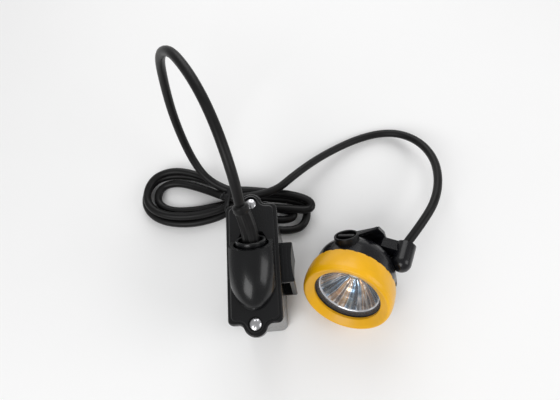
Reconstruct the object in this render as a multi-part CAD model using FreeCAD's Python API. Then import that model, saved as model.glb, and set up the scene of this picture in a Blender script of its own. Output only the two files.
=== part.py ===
import FreeCAD, Part
import math
import os
from FreeCAD import Matrix, Placement, Rotation, Vector

# A corded miner's cap lamp, in millimetres. The origin is the centre of the battery pack's base on
# the surface that the lamp stands on, +Z is up, +Y runs along the pack's long side and +X points
# to the belt loop. The headpiece lies beside the pack with its lens tilted up.

# ---- driving dimensions: cells and what holds them
cell_radius = 9.2
cell_length = 65.0
cell_count = 4
cell_gap = 0.2
cell_end_room = 0.3
cell_shoulder = 0.6
cell_contact_radius = 2.8
holder_thickness = 4.0
holder_pocket = 2.0
holder_fit = 0.15
holder_clearance = 0.05
contact_window_radius = 4.0
pad_thickness = 5.3
pad_below = 6.0
pad_above = 9.0
strip_thickness = 0.3
strip_width = 8.0
strip_reach = 4.0
board_thickness = 1.6
board_side_gap = 1.5
board_end_gap = 7.5
board_part_height = 1.5

# ---- driving dimensions: battery case and cover
case_wall = 2.5
case_floor = 3.0
case_headroom = 4.1
case_corner = 6.0
base_round = 2.5
gasket_thickness = 1.2
gasket_inset = 0.6
gasket_notch_gap = 0.15

lid_overhang = 1.0
lid_corner = 3.5
lid_wall = 2.5
lid_end_wall = 5.5
flange_height = 6.6
plateau_height = 2.2
plateau_inset = 2.2
flange_round = 1.0
plateau_chamfer = 0.8
ear_radius = 8.0
ear_blend = 4.0

screw_radius = 2.0
screw_length = 13.0
screw_head_rim = 1.9
screw_head_height = 2.3
screw_head_cap = 1.1
screw_hole_clearance = 0.3
counterbore_gap = 0.8
counterbore_depth = 2.2
spanner_hole_radius = 0.55
spanner_hole_offset = 2.0
spanner_hole_depth = 1.3
spanner_turn = 70.0
insert_wall = 0.9
insert_length = 9.0
thread_clearance = 0.03
case_boss_wall = 3.1
case_boss_height = 16.0
case_boss_taper = 10.0
case_boss_floor = 2.0

# the cable scoop on the lid and what is screwed into it
nut_radius = 10.2
nut_fit = 0.05
nut_proud = 3.0
nut_wall = 2.0
nut_bore_depth = 6.0
nut_lip_round = 0.7
scoop_side = 4.3
scoop_height = 17.2
scoop_length = 35.5
scoop_crown_y = 2.5
scoop_bulge = 3.5
scoop_wall = 2.3
mouth_tilt = 34.0
mouth_y = 10.5
mouth_rise = 5.1
mouth_recess_rim = 1.8
mouth_recess_depth = 4.0
collar_depth = 14.0
sleeve_plug_wall = 2.6
sleeve_plug_length = 12.0
sleeve_foot_length = 2.0
sleeve_foot_gap = 0.3
sleeve_base_step = 0.2
sleeve_tip_wall = 1.7
sleeve_lean = Vector(-4.0, 21.0, 18.9)
pack_seal_length = 3.0

# belt loop
loop_reach = 10.0
loop_gap = 6.3
loop_length = 28.0
loop_bottom = 17.0
loop_top_gap = 2.0
loop_web = 3.0
loop_corner = 1.5
loop_hollow = 1.7
loop_rib_width = 1.2
loop_rib_height = 0.6
loop_rib_places = (2.2, 4.9, 7.6)

# ---- driving dimensions: headpiece, along its own lens axis from the bezel's widest circle
head_x = 63.16
head_y = -22.35
head_elevation = 28.4
head_azimuth = -116.6
head_roll = 38.5

bezel_radius = 34.2
bezel_face = 8.9
bezel_ridge = 3.2
bezel_ridge_inset = 2.8
bezel_depth = 16.0
bezel_rim_inset = 0.8
bezel_wall = 2.6
bezel_lip = 2.2
thread_gap = 0.2
grip_notch_count = 24
grip_notch_width = 2.6
grip_notch_depth = 0.4
grip_notch_length = 1.0
seal_thickness = 1.4
seal_step = 0.7
lens_thickness = 2.0
lens_fit = 0.3
seat_thickness = 3.0
seat_step = 1.7
seat_chamfer = 0.5
reflector_fit = 0.15
reflector_rim_wall = 0.25
reflector_lens_gap = 0.2
reflector_depth = 18.0
reflector_neck = 5.0
reflector_shell = 1.4
reflector_flange = 1.2
reflector_flange_gap = 0.9

dome_round = 20.0
dome_room = 2.4
dome_wall = 2.5
led_board_radius = 10.0
led_board_thickness = 1.6
led_size = 3.5
led_height = 0.8
led_dome_radius = 1.4
sink_radius = 14.5
sink_length = 7.8
sink_groove = 1.4
sink_groove_depth = 3.0
sink_groove_places = (-7.5, 0.0, 7.5)
driver_radius = 15.0
driver_thickness = 1.6
inductor_radius = 3.2
inductor_height = 2.4
inductor_place = (4.0, -3.0)
pillar_radius = 1.6
pillar_length = 2.0
pillar_circle = 11.0
pillar_count = 3

# rear block, cable boss and cap hook, by distance towards the cable side and across it
rear_turn = -8.0
block_behind = 5.0
block_sunk = 5.5
block_start = (6.0, 9.0)
block_shoulder = (19.0, 14.6)
block_end_half_width = 8.6
block_round = 1.2
boss_wall = 2.0
boss_length = 15.5
boss_beyond = 6.1
boss_tilt = 11.0
boss_lean = 16.0
grommet_wall = 2.1
grommet_depth = 8.0
grommet_proud = 1.6
grommet_tip_wall = 1.3
wire_bore = 2.6
hook_thickness = 2.5
hook_flat = 17.0
hook_half_width = 28.5
hook_low_half_width = 31.5
hook_bend = 32.0
hook_taper = 19.0
hook_start = 0.5
hook_boss_gap = 7.4
hook_rib_height = 0.8
hook_rib_width = 1.4
hook_rib_count = 3
hook_rib_margin = 1.5
hook_screw_insets = (8.5, 6.0)
hook_screw_radius = 1.5
hook_screw_head = 2.9
hook_screw_head_height = 1.8
hook_screw_length = 9.0
hook_screw_slot = 0.8

# rotary switch, along its own axis out of the dome
switch_tilt = 15.0
switch_turn = -10.0
switch_sunk = 2.2
collar_bore = 7.7
collar_wall = 1.7
collar_rim_round = 0.7
collar_top = 5.5
collar_skirt = 0.45
collar_floor_top = 0.5
collar_floor_bottom = -3.0
collar_fit = 0.05
shaft_radius = 2.0
shaft_fit = 0.05
shaft_top = 2.4
knob_gap = 0.4
knob_bottom = 0.8
knob_top = 2.9
grip_end_gap = 0.5
grip_width = 3.8
grip_top = 5.3
grip_round = 1.4
oring_section = 1.3
oring_low = -1.8
oring_high = -0.6
rotor_radius = 6.0
rotor_thickness = 1.6
base_fit = 0.1
base_gap = 0.05
base_bore_gap = 0.4
base_thickness = 1.9
detent_radius = 1.0
detent_circle = 4.6
detent_fit = 0.15
detent_gap = 0.05
pocket_depth = 1.4
spring_length = 1.0
spring_bore = 0.55

# charging contact on the side away from the switch
charge_pin_radius = 2.2
charge_bush_wall = 2.0
charge_ahead = 4.0
charge_proud = 0.8
charge_inside = 3.0

# ---- driving dimensions: cable
cable_radius = 3.5
loop_route = (
    (-4.3, 39.6, 124.0),
    (-7.4, 54.5, 137.5),
    (-12.8, 73.0, 146.0),
    (-20.0, 91.5, 152.0),
    (-29.5, 110.0, 154.5),
    (-41.0, 128.0, 150.5),
    (-54.0, 140.5, 133.0),
    (-60.5, 141.5, 104.0),
    (-63.0, 132.0, 73.0),
    (-60.0, 117.5, 47.0),
    (-54.0, 104.0, 30.0),
    (-45.0, 92.5, 20.0),
    (-34.0, 84.5, 14.0),
)
lead_route = (
    (-6.0, 71.5, 17.5),
    (12.0, 74.5, 20.5),
    (33.0, 90.5, 21.0),
    (52.5, 106.5, 13.5),
    (74.0, 119.5, 8.0),
    (96.0, 129.0, 5.0),
    (117.0, 132.5, 5.2),
    (135.0, 128.0, 8.5),
    (149.0, 114.0, 14.5),
    (155.0, 94.0, 22.0),
    (152.5, 72.5, 31.0),
    (145.0, 52.0, 38.0),
    (133.0, 34.5, 41.5),
)
bend_share = 0.45

# hank of cable: outline of its two lobes, its height, and the tie at its waist
left_lobe = ((-44.0, 94.5), (-68.0, 107.5), (-92.0, 110.5), (-109.0, 99.0), (-110.5, 82.0),
             (-95.0, 63.5), (-68.0, 57.0), (-40.0, 66.0))
right_lobe = ((-14.0, 80.0), (12.0, 81.5), (38.0, 75.5), (50.0, 64.0), (43.0, 49.5),
              (18.0, 44.0), (-14.0, 60.0))
lobe_height = 17.0
waist_centre = (-27.5, 74.5)
waist_turn = -12.0
waist_width = 21.0
waist_height = 19.1
waist_length = 36.0
waist_round = 5.0
tie_thickness = 1.5
tie_width = 4.0
tie_knot_radius = 2.6

# ---- places that follow from the driving dimensions
cell_pitch = 2 * cell_radius + cell_gap
cavity_half_width = cell_radius + pad_thickness
cavity_half_length = cell_count * cell_pitch / 2 + cell_end_room
cavity_corner = case_corner - case_wall
case_width = 2 * (cavity_half_width + case_wall)
case_length = 2 * (cavity_half_length + case_wall)
cell_bottom = case_floor + holder_thickness - holder_pocket
cell_top = cell_bottom + cell_length
holder_top = cell_top + holder_thickness - holder_pocket
board_bottom = holder_top + strip_thickness
case_height = board_bottom + board_thickness + case_headroom
pad_length = 2 * (cavity_half_length - cavity_corner)
lid_width = case_width + 2 * lid_overhang
lid_length = case_length + 2 * lid_overhang
lid_bottom = case_height + gasket_thickness
flange_top = lid_bottom + flange_height
lid_top = flange_top + plateau_height
screw_places = (-lid_length / 2, lid_length / 2)
screw_seat = lid_top - counterbore_depth
screw_head_radius = screw_radius + screw_head_rim
counterbore_radius = screw_head_radius + counterbore_gap
insert_radius = screw_radius + insert_wall
case_boss_radius = insert_radius + case_boss_wall
loop_height = case_height - loop_top_gap - loop_bottom

nut_bore = nut_radius - nut_wall
scoop_half_width = nut_radius + scoop_side
mouth_recess_radius = nut_radius + mouth_recess_rim
mouth_normal = Vector(0, math.cos(math.radians(mouth_tilt)), math.sin(math.radians(mouth_tilt)))
mouth_centre = Vector(0, mouth_y, lid_top + mouth_rise)
sleeve_plug_radius = cable_radius + sleeve_plug_wall
sleeve_base_radius = sleeve_plug_radius - sleeve_base_step
sleeve_foot_radius = nut_bore - sleeve_foot_gap
sleeve_tip_radius = cable_radius + sleeve_tip_wall
sleeve_tip = mouth_centre + sleeve_lean
nut_throat = sleeve_plug_radius + sleeve_base_step

bezel_opening = bezel_radius - bezel_face
bezel_ridge_radius = bezel_radius - bezel_ridge_inset
bezel_rim_radius = bezel_radius - bezel_rim_inset
bezel_wall_inner = bezel_radius - bezel_wall
lens_radius = bezel_wall_inner - lens_fit
seal_inner = bezel_opening + seal_step
seat_inner = bezel_opening - seat_step
reflector_lip = seat_inner - reflector_fit
reflector_rim = reflector_lip - reflector_rim_wall
dome_radius = bezel_wall_inner - thread_gap
dome_centre_radius = dome_radius - dome_round
reflector_flange_radius = dome_radius - reflector_flange_gap
lens_front = -bezel_lip - seal_thickness
lens_back = lens_front - lens_thickness
seat_back = lens_back - seat_thickness
housing_front = seat_back - reflector_flange
reflector_front = lens_back - reflector_lens_gap
reflector_bottom = reflector_front - reflector_depth
reflector_back = reflector_bottom - reflector_shell
led_board_back = reflector_back - led_board_thickness
sink_back = led_board_back - sink_length
pillar_back = sink_back - pillar_length
driver_back = pillar_back - driver_thickness
dome_back = inductor_height - driver_back + dome_room + dome_wall
dome_straight = dome_back - dome_round
block_back = dome_back + block_behind
block_front = dome_back - block_sunk
boss_reach = dome_radius + boss_beyond
grommet_radius = cable_radius + grommet_wall
grommet_tip = cable_radius + grommet_tip_wall
boss_radius = grommet_radius + boss_wall
hook_end = boss_reach - boss_radius - hook_boss_gap
hook_screw_places = (hook_start + hook_screw_insets[0], hook_end - hook_screw_insets[1])

collar_radius = collar_bore + collar_wall
knob_radius = collar_bore - knob_gap
grip_length = 2 * (knob_radius - grip_end_gap)
oring_outer = shaft_radius + oring_section
base_top = collar_floor_bottom - base_gap
base_bottom = base_top - base_thickness
collar_bottom = base_bottom - collar_skirt
spring_top = base_bottom + pocket_depth
ball_centre = spring_top - spring_length - detent_radius
rotor_top = ball_centre - detent_radius - detent_gap
shaft_bottom = rotor_top - rotor_thickness
charge_bush_radius = charge_pin_radius + charge_bush_wall
charge_side = Vector(0, -1, 0)


def direction(elevation, azimuth):
    """Unit vector at an elevation and azimuth in degrees."""
    up, turn = math.radians(elevation), math.radians(azimuth)
    return Vector(math.cos(up) * math.cos(turn), math.cos(up) * math.sin(turn), math.sin(up))


def head_frame():
    """Placement that takes the headpiece's own frame to the lamp's frame.

    In the headpiece's frame +Z is out of the lens, +X is towards the cable and +Y towards the switch.
    The dome's rounded shoulder rests on the surface that the lamp stands on.
    """
    axis = direction(head_elevation, head_azimuth)
    upright = Vector(0, 0, 1) - axis * axis.z
    upright.normalize()
    across = upright.cross(axis)
    turn = math.radians(head_roll)
    cable_side = across * math.cos(turn) + upright * math.sin(turn)
    switch_side = axis.cross(cable_side)
    rise = (dome_centre_radius * math.cos(math.radians(head_elevation))
            + dome_straight * math.sin(math.radians(head_elevation)) + dome_round)
    frame = Matrix(cable_side.x, switch_side.x, axis.x, head_x,
                   cable_side.y, switch_side.y, axis.y, head_y,
                   cable_side.z, switch_side.z, axis.z, rise,
                   0, 0, 0, 1)
    return Placement(frame)


def switch_frame():
    """Placement of the switch in the headpiece's frame, +Z out of the dome along the shaft."""
    tilt = math.radians(switch_tilt)
    outward = Vector(0, math.cos(tilt), -math.sin(tilt))
    place = (Vector(0, dome_centre_radius, -dome_straight)
             + outward * (dome_round - switch_sunk))
    about_lens = Placement(Vector(), Rotation(Vector(0, 0, 1), switch_turn))
    return about_lens.multiply(Placement(place, Rotation(Vector(0, 0, 1), outward)))


def rear_frame():
    """Placement of the rear block and the hook, turned about the lens axis."""
    return Placement(Vector(), Rotation(Vector(0, 0, 1), rear_turn))


def boss_direction():
    """Direction in which the cable leaves the headpiece, in the headpiece's frame."""
    heading = Vector(math.tan(math.radians(boss_tilt)), math.tan(math.radians(boss_lean)), -1)
    return heading.normalize()


def boss_end():
    """Centre of the cable boss's end face, in the headpiece's frame."""
    return Vector(boss_reach, 0, -block_back)


HEAD = head_frame()
SWITCH = HEAD.multiply(switch_frame())


def placed(shape, placement):
    """A copy of a shape moved by a placement."""
    moved = shape.copy()
    moved.Placement = placement.multiply(moved.Placement)
    return moved


def box(x0, x1, y0, y1, z0, z1):
    """Box between two corners."""
    return Part.makeBox(x1 - x0, y1 - y0, z1 - z0, Vector(x0, y0, z0))


def cylinder(radius, z0, z1, x=0.0, y=0.0):
    """Upright cylinder between two heights."""
    return Part.makeCylinder(radius, z1 - z0, Vector(x, y, z0))


def tube(outer, inner, z0, z1, x=0.0, y=0.0):
    """Upright ring between two heights."""
    return cylinder(outer, z0, z1, x, y).cut(cylinder(inner, z0 - 1, z1 + 1, x, y))


def cylinder_along(radius, start, heading, length):
    """Cylinder from a point along a direction."""
    return Part.makeCylinder(radius, length, start, heading)


def half_space(point, normal, size=200.0):
    """Large block on the side of a plane that its normal points to."""
    block = Part.makeBox(size, size, size, Vector(-size / 2, -size / 2, 0))
    block.Placement = Placement(point, Rotation(Vector(0, 0, 1), normal))
    return block


def upright_edges(shape, test):
    """Straight edges along Z whose middle passes a test."""
    found = []
    for edge in shape.Edges:
        first, last = edge.Vertexes[0].Point, edge.Vertexes[-1].Point
        rise = (last - first)
        if rise.Length > 1e-6 and abs(rise.z) > 0.999 * rise.Length:
            if test((first + last) * 0.5):
                found.append(edge)
    return found


def level_edges(shape, height):
    """Edges that lie wholly at one height."""
    return [edge for edge in shape.Edges
            if all(abs(vertex.Z - height) < 1e-4 for vertex in edge.Vertexes)
            and abs(edge.BoundBox.ZMax - height) < 1e-3 and abs(edge.BoundBox.ZMin - height) < 1e-3]


def rounded_block(width, length, corner, z0, z1):
    """Upright block with rounded corners, centred on the Z axis."""
    block = box(-width / 2, width / 2, -length / 2, length / 2, z0, z1)
    return block.makeFillet(corner, upright_edges(block, lambda middle: True))


def eared_plate(inset, z0, z1):
    """Lid outline with its two screw ears, drawn in by an inset, between two heights."""
    plate = rounded_block(lid_width - 2 * inset, lid_length - 2 * inset, lid_corner, z0, z1)
    radius = ear_radius - inset
    edge_y = lid_length / 2 - inset
    spacing = screw_places[1] - edge_y
    for y in screw_places:
        plate = plate.fuse(cylinder(radius, z0, z1, 0, y))
    plate = plate.removeSplitter()
    meeting = math.sqrt(radius ** 2 - spacing ** 2)
    corners = upright_edges(plate, lambda middle: abs(abs(middle.x) - meeting) < 0.01
                            and abs(abs(middle.y) - edge_y) < 0.01)
    return plate.makeFillet(ear_blend + inset, corners)


def turned(profile):
    """Solid of revolution about Z from (radius, height) points; an (r, z, r, z) entry is an arc
    through its first pair to its second."""
    edges = []
    here = Vector(profile[0][0], 0, profile[0][1])
    for entry in profile[1:] + profile[:1]:
        there = Vector(entry[-2], 0, entry[-1])
        if len(entry) == 4:
            edges.append(Part.Arc(here, Vector(entry[0], 0, entry[1]), there).toShape())
        else:
            edges.append(Part.LineSegment(here, there).toShape())
        here = there
    return Part.Face(Part.Wire(edges)).revolve(Vector(0, 0, 0), Vector(0, 0, 1), 360)


def closed_curve(points, z):
    """Smooth closed outline through plan points at a height."""
    curve = Part.BSplineCurve()
    curve.interpolate([Vector(x, y, z) for x, y in points], PeriodicFlag=True)
    return Part.Face(Part.Wire(curve.toShape()))


# ---- battery pack

def battery_case():
    """Case with rounded base, hollow inside, and two short screw bosses on its ends."""
    boss_start = lid_bottom - case_boss_height
    outer = rounded_block(case_width, case_length, case_corner, 0, case_height)
    outer = outer.makeFillet(base_round, level_edges(outer, 0))
    for y in screw_places:
        outer = outer.fuse(cylinder(case_boss_radius, boss_start, lid_bottom, 0, y))
        side = math.copysign(case_boss_radius - 1, y)
        taper = Part.makeLoft([
            Part.Wire(Part.makeCircle(1.0, Vector(0, y - side, boss_start - case_boss_taper))),
            Part.Wire(Part.makeCircle(case_boss_radius, Vector(0, y, boss_start)))], True)
        outer = outer.fuse(taper)
    cavity = rounded_block(2 * cavity_half_width, 2 * cavity_half_length,
                           cavity_corner, case_floor, lid_bottom + 1)
    outer = outer.cut(cavity)
    outer = outer.cut(box(-lid_width, lid_width, -case_length / 2, case_length / 2,
                          case_height, lid_bottom + 1))
    for y in screw_places:
        outer = outer.cut(cylinder(insert_radius, lid_bottom - insert_length, lid_bottom + 1, 0, y))
        outer = outer.cut(cylinder(screw_radius + screw_hole_clearance,
                                   boss_start + case_boss_floor, lid_bottom, 0, y))
    return outer.removeSplitter()


def cover_gasket():
    """Flat rubber frame between the case's rim and the cover, notched round the inserts."""
    frame = rounded_block(case_width - 2 * gasket_inset, case_length - 2 * gasket_inset,
                          case_corner - gasket_inset, case_height, lid_bottom)
    frame = frame.cut(rounded_block(2 * cavity_half_width, 2 * cavity_half_length, cavity_corner,
                                    case_height - 1, lid_bottom + 1))
    for y in screw_places:
        frame = frame.cut(cylinder(insert_radius + gasket_notch_gap, case_height - 1,
                                   lid_bottom + 1, 0, y))
    return frame


def scoop_solid(shrink, back_limit=None):
    """Domed cable scoop with flat sides, drawn in by a wall, cut square to the mouth's axis."""
    wide = scoop_half_width + scoop_bulge - shrink
    scale = Matrix()
    scale.scale(wide, scoop_length - shrink, scoop_height - shrink)
    nose = Part.makeSphere(1.0).transformGeometry(scale)
    nose.translate(Vector(0, scoop_crown_y, lid_top))
    rear = half_space(Vector(0, scoop_crown_y, lid_top), Vector(0, -1, 0))
    nose = nose.common(rear)
    stretch = Matrix()
    stretch.scale(wide, scoop_height - shrink, 1)
    throat = Part.makeCylinder(1.0, 30.0).transformGeometry(stretch)
    throat.rotate(Vector(0, 0, 0), Vector(1, 0, 0), -90)
    throat.translate(Vector(0, scoop_crown_y, lid_top))
    side = scoop_half_width - shrink
    whole = nose.fuse(throat).common(box(-side, side, -lid_length, lid_length, 0, 2 * lid_top))
    front = mouth_centre if back_limit is None else mouth_centre - mouth_normal * back_limit
    return whole.cut(half_space(front, mouth_normal))


def top_cover():
    """Cover with ears, raised plateau and slanted cable scoop, hollow underneath."""
    flange = eared_plate(0, lid_bottom, flange_top)
    flange = flange.makeFillet(flange_round, level_edges(flange, flange_top))
    plateau = eared_plate(plateau_inset, flange_top - 1, lid_top)
    plateau = plateau.makeChamfer(plateau_chamfer, level_edges(plateau, lid_top))
    cover = flange.fuse(plateau)
    above = box(-lid_width, lid_width, -lid_length, lid_length, lid_bottom + 0.5, lid_top + 40)
    cover = cover.fuse(scoop_solid(0).common(above))
    hollow = rounded_block(2 * cavity_half_width, lid_length - 2 * (lid_overhang + lid_end_wall),
                           cavity_corner, lid_bottom - 1, lid_top - lid_wall)
    hollow = hollow.fuse(scoop_solid(scoop_wall, collar_depth).common(above))
    collar = cylinder_along(scoop_half_width - 0.2, mouth_centre - mouth_normal * collar_depth,
                            mouth_normal, collar_depth + 9)
    below = box(-lid_width, lid_width, -lid_length, lid_length, lid_bottom, lid_top - 0.2)
    cover = cover.cut(hollow).fuse(collar.common(below))
    recess = cylinder_along(mouth_recess_radius, mouth_centre - mouth_normal * mouth_recess_depth,
                            mouth_normal, mouth_recess_depth + 5)
    bore = cylinder_along(nut_radius + nut_fit, mouth_centre - mouth_normal * (collar_depth + 1),
                          mouth_normal, collar_depth + 6)
    cover = cover.cut(recess).cut(bore)
    for y in screw_places:
        cover = cover.cut(cylinder(counterbore_radius, screw_seat, lid_top + 5, 0, y))
        cover = cover.cut(cylinder(screw_radius + screw_hole_clearance, lid_bottom - 1,
                                   lid_top, 0, y))
    return cover


def mouth_ring(radius, inner, start, end):
    """Ring about the mouth's axis, between two distances out of the mouth."""
    base = mouth_centre + mouth_normal * start
    ring = cylinder_along(radius, base, mouth_normal, end - start)
    return ring.cut(cylinder_along(inner, base - mouth_normal, mouth_normal, end - start + 2))


def gland_nut():
    """Hollow nut screwed into the scoop, with its lip standing out of the mouth."""
    wide = mouth_ring(nut_radius, nut_bore, -nut_bore_depth, nut_proud)
    throat = mouth_ring(nut_radius, nut_throat, -collar_depth + pack_seal_length, -nut_bore_depth)
    nut = wide.fuse(throat).removeSplitter()
    lip = [edge for edge in nut.Edges if edge.Closed
           and (edge.CenterOfMass - mouth_centre).dot(mouth_normal) > nut_proud - 0.01]
    return nut.makeFillet(nut_lip_round, lip)


def gland_seal():
    """Rubber ring squeezed under the nut, round the sleeve's plug."""
    return mouth_ring(nut_radius, sleeve_plug_radius + nut_fit, -collar_depth,
                      -collar_depth + pack_seal_length)


def strain_relief():
    """Rubber sleeve moulded on the cable: plug, foot, and a leaning tapered body."""
    start = -collar_depth - 1.0
    plug = cylinder_along(sleeve_plug_radius, mouth_centre + mouth_normal * start, mouth_normal,
                          sleeve_plug_length + 1)
    foot = cylinder_along(sleeve_foot_radius, mouth_centre - mouth_normal * nut_bore_depth,
                          mouth_normal, sleeve_foot_length)
    root = mouth_centre - mouth_normal * (nut_bore_depth - sleeve_foot_length)
    lean = sleeve_tip - root
    body = Part.makeCone(sleeve_base_radius, sleeve_tip_radius, lean.Length, root, lean)
    joint = Part.makeSphere(sleeve_base_radius, root)
    return plug.fuse(foot).fuse(body).fuse(joint).removeSplitter()


def cover_screws():
    """Two pan-head security screws, each with two spanner holes."""
    screws = []
    head_top = screw_seat + screw_head_height
    cap_radius = (screw_head_radius ** 2 + screw_head_cap ** 2) / (2 * screw_head_cap)
    turn = math.radians(spanner_turn)
    across, along = spanner_hole_offset * math.cos(turn), spanner_hole_offset * math.sin(turn)
    for y in screw_places:
        cap = Part.makeSphere(cap_radius, Vector(0, y, head_top - cap_radius))
        screw = cylinder(screw_head_radius, screw_seat, head_top, 0, y).common(cap)
        screw = screw.fuse(cylinder(screw_radius, screw_seat - screw_length, screw_seat, 0, y))
        for side in (-1, 1):
            screw = screw.cut(cylinder(spanner_hole_radius, head_top - spanner_hole_depth,
                                       head_top + 1, side * across, y + side * along))
        screws.append(screw)
    return Part.makeCompound(screws)


def screw_inserts():
    """Two brass threaded inserts in the case's bosses."""
    return Part.makeCompound([tube(insert_radius, screw_radius + thread_clearance,
                                   lid_bottom - insert_length, lid_bottom, 0, y)
                              for y in screw_places])


def belt_loop():
    """Loop on the case's wide side: an outer wall on two webs, open along Y."""
    inner = case_width / 2
    outer = inner + loop_reach
    top = loop_bottom + loop_height
    half = loop_length / 2
    loop = box(inner, outer, -half, half, loop_bottom, top)
    loop = loop.makeFillet(loop_corner, upright_edges(loop, lambda middle: middle.x > inner + 1))
    loop = loop.cut(box(inner - 1, inner + loop_gap, -half - 1, half + 1,
                        loop_bottom + loop_web, top - loop_web))
    radius = (half ** 2 + loop_hollow ** 2) / (2 * loop_hollow)
    loop = loop.cut(cylinder(radius, loop_bottom - 1, top + 1, outer - loop_hollow + radius, 0))
    for place in loop_rib_places:
        if place < loop_reach - loop_hollow:
            loop = loop.fuse(box(inner + place - loop_rib_width / 2,
                                 inner + place + loop_rib_width / 2,
                                 loop_corner - half, half - loop_corner,
                                 top, top + loop_rib_height))
    return loop.removeSplitter()


def cell_places():
    """Y of each cell's axis."""
    return [(index - (cell_count - 1) / 2) * cell_pitch for index in range(cell_count)]


def battery_cell(y):
    """One round cell with a raised contact on its top."""
    shoulder = cell_top - cell_shoulder
    cell = cylinder(cell_radius, cell_bottom, shoulder, 0, y)
    cell = cell.makeFillet(cell_shoulder, level_edges(cell, shoulder))
    contact = cylinder(cell_contact_radius, shoulder - cell_shoulder, cell_top, 0, y)
    return cell.fuse(contact).removeSplitter()


def cell_holder(z0, z1, pocket_low, pocket_high):
    """Plate with a pocket for each cell."""
    plate = rounded_block(2 * (cavity_half_width - holder_fit), 2 * (cavity_half_length - holder_fit),
                          cavity_corner, z0, z1)
    for y in cell_places():
        plate = plate.cut(cylinder(cell_radius + holder_clearance, pocket_low, pocket_high, 0, y))
    return plate


def cell_tray():
    """Lower holder, with pockets in its top."""
    top = case_floor + holder_thickness
    return cell_holder(case_floor, top, cell_bottom, top + 1)


def cell_cap():
    """Upper holder, with pockets below and a window over each cell's contact."""
    low = cell_top - holder_pocket
    cap = cell_holder(low, holder_top, low - 1, cell_top)
    for y in cell_places():
        cap = cap.cut(cylinder(contact_window_radius, low, holder_top + 1, 0, y))
    return cap


def foam_pads():
    """Foam between the cells and the wide walls."""
    pads = []
    for side in (-1, 1):
        x0, x1 = sorted((side * cell_radius, side * cavity_half_width))
        pads.append(box(x0, x1, -pad_length / 2, pad_length / 2,
                        cell_bottom + pad_above, cell_top - pad_below))
    return Part.makeCompound(pads)


def bus_strips():
    """Nickel strips that join the cells in pairs."""
    strips = []
    places = cell_places()
    for first, second in zip(places[0::2], places[1::2]):
        strips.append(box(-strip_width / 2, strip_width / 2, first - strip_reach,
                          second + strip_reach, holder_top, board_bottom))
    return Part.makeCompound(strips)


def protection_board():
    """Charge protection board with its largest components."""
    top = board_bottom + board_thickness
    half_width, half_length = cavity_half_width - board_side_gap, cavity_half_length - board_end_gap
    board = box(-half_width, half_width, -half_length, half_length, board_bottom, top)
    for x, y in ((-8, -20), (2, 6)):
        board = board.fuse(box(x, x + 6, y, y + 8, top, top + board_part_height))
    return board.removeSplitter()


# ---- headpiece, in its own frame

def front_bezel():
    """Screwed bezel: sunk front face round the opening, rounded ridge, grip notches at the rear."""
    profile = [(bezel_opening, -bezel_lip), (bezel_opening, -0.3), (bezel_opening + 0.3, 0),
               (bezel_ridge_radius - 1.2, bezel_ridge - 0.35),
               (bezel_ridge_radius + 0.4, bezel_ridge, bezel_ridge_radius + 1.7, bezel_ridge - 1.5),
               (bezel_radius - 0.5, 0.2),
               (bezel_radius, -4.0, bezel_radius, -6.0),
               (bezel_radius - 0.1, -11.0, bezel_rim_radius, -bezel_depth),
               (bezel_wall_inner, -bezel_depth), (bezel_wall_inner, -bezel_lip)]
    bezel = turned(profile)
    notches = []
    for index in range(grip_notch_count):
        notch = box(bezel_rim_radius - grip_notch_depth, bezel_radius + 1,
                    -grip_notch_width / 2, grip_notch_width / 2,
                    -bezel_depth - 1, -bezel_depth + grip_notch_length)
        notch.rotate(Vector(0, 0, 0), Vector(0, 0, 1), 360.0 * index / grip_notch_count)
        notches.append(notch)
    return bezel.cut(Part.makeCompound(notches))


def lens_seal():
    """Black rubber ring between the bezel's lip and the lens."""
    return tube(lens_radius, seal_inner, lens_front, -bezel_lip)


def lens():
    """Clear flat lens."""
    return cylinder(lens_radius, lens_back, lens_front)


def seat_ring():
    """Dark ring that the lens rests on, round the reflector's rim."""
    profile = [(seat_inner, seat_back), (lens_radius, seat_back), (lens_radius, lens_back),
               (seat_inner + seat_chamfer, lens_back), (seat_inner, lens_back - seat_chamfer)]
    return turned(profile)


def bowl_height(radius):
    """Height of the reflecting parabola at a radius."""
    return reflector_bottom + reflector_depth * (radius / reflector_rim) ** 2


def reflector():
    """Plated bowl with a flange between the seat ring and the housing."""
    middle = (reflector_rim + reflector_neck) / 2
    back_middle = middle + reflector_shell * 0.75
    profile = [(reflector_neck, bowl_height(reflector_neck)),
               (middle, bowl_height(middle), reflector_rim, reflector_front),
               (reflector_lip, reflector_front), (reflector_lip, seat_back),
               (reflector_flange_radius, seat_back), (reflector_flange_radius, housing_front),
               (reflector_lip + 0.2, housing_front),
               (back_middle, bowl_height(middle) - reflector_shell * 0.75,
                reflector_neck + 2.0, reflector_back),
               (reflector_neck, reflector_back)]
    return turned(profile)


def main_led():
    """Emitter: square body with a small clear dome."""
    half = led_size / 2
    led = box(-half, half, -half, half, reflector_back, reflector_back + led_height)
    return led.fuse(Part.makeSphere(led_dome_radius, Vector(0, 0, reflector_back + led_height),
                                    Vector(0, 0, 1), 0, 90, 360)).removeSplitter()


def led_board():
    """Round metal board under the emitter."""
    return cylinder(led_board_radius, led_board_back, reflector_back)


def heat_sink():
    """Aluminium slug with grooves across its back."""
    sink = cylinder(sink_radius, sink_back, led_board_back)
    for place in sink_groove_places:
        sink = sink.cut(box(place - sink_groove / 2, place + sink_groove / 2, -sink_radius,
                            sink_radius, sink_back - 1, sink_back + sink_groove_depth))
    return sink


def board_pillars():
    """Brass pillars between the heat sink and the driver board."""
    pillars = []
    for index in range(pillar_count):
        angle = math.radians(30 + 360.0 * index / pillar_count)
        pillars.append(cylinder(pillar_radius, pillar_back, sink_back,
                                pillar_circle * math.cos(angle), pillar_circle * math.sin(angle)))
    return Part.makeCompound(pillars)


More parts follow.
